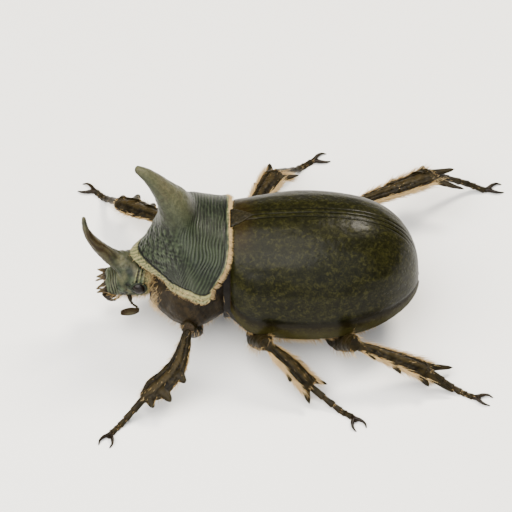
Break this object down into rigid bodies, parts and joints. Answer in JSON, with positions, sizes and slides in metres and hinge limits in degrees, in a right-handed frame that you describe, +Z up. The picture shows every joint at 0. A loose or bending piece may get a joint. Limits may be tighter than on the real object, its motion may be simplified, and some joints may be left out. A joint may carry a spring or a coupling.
{
  "type": "rhinoceros beetle",
  "caption": "Life-size still model of a male rhinoceros beetle standing on splayed legs, with an upcurved head horn and a forward-hooked horn on the pronotum.",
  "frame": {"origin": "on the floor under the middle of the model's box", "axes": "+X towards the beetle's tail, its head faces -X; +Y towards its right side; +Z up from the floor"},
  "size_m": [0.081, 0.0778, 0.0391],
  "materials": {
    "wing_case": "mottled olive-brown chitin, semi-gloss, finely wrinkled and pitted",
    "shield": "grey-green chitin, semi-gloss, finely striate",
    "limb": "warm olive-brown chitin with golden hairs",
    "belly": "brown chitin with golden hairs",
    "claw": "dark polished chitin",
    "eye": "glossy near-black, finely faceted"
  },
  "bodies": {
    "root": {"head": "shield", "head_horn": "shield", "clypeus": "shield", "eye_left": "eye", "eye_right": "eye", "mandible_left": "claw", "mandible_right": "claw", "palp_left": "limb", "palp_right": "limb", "antenna_stalk_left": "limb", "antenna_stalk_right": "limb", "antenna_club_left": "limb", "antenna_club_right": "limb", "pronotum": "shield", "thoracic_horn": "shield", "prosternum": "belly", "scutellum": "shield", "elytron_left": "wing_case", "elytron_right": "wing_case", "hind_thorax": "belly", "abdomen": "belly", "pygidium": "belly", "front_left_coxa": "limb", "front_left_femur": "limb", "front_left_tibia": "limb", "front_left_tarsus": "limb", "front_left_claws": "claw", "front_right_coxa": "limb", "front_right_femur": "limb", "front_right_tibia": "limb", "front_right_tarsus": "limb", "front_right_claws": "claw", "middle_left_coxa": "limb", "middle_left_femur": "limb", "middle_left_tibia": "limb", "middle_left_tarsus": "limb", "middle_left_claws": "claw", "middle_right_coxa": "limb", "middle_right_femur": "limb", "middle_right_tibia": "limb", "middle_right_tarsus": "limb", "middle_right_claws": "claw", "hind_left_coxa": "limb", "hind_left_femur": "limb", "hind_left_tibia": "limb", "hind_left_tarsus": "limb", "hind_left_claws": "claw", "hind_right_coxa": "limb", "hind_right_femur": "limb", "hind_right_tibia": "limb", "hind_right_tarsus": "limb", "hind_right_claws": "claw"}
  },
  "joints": []
}
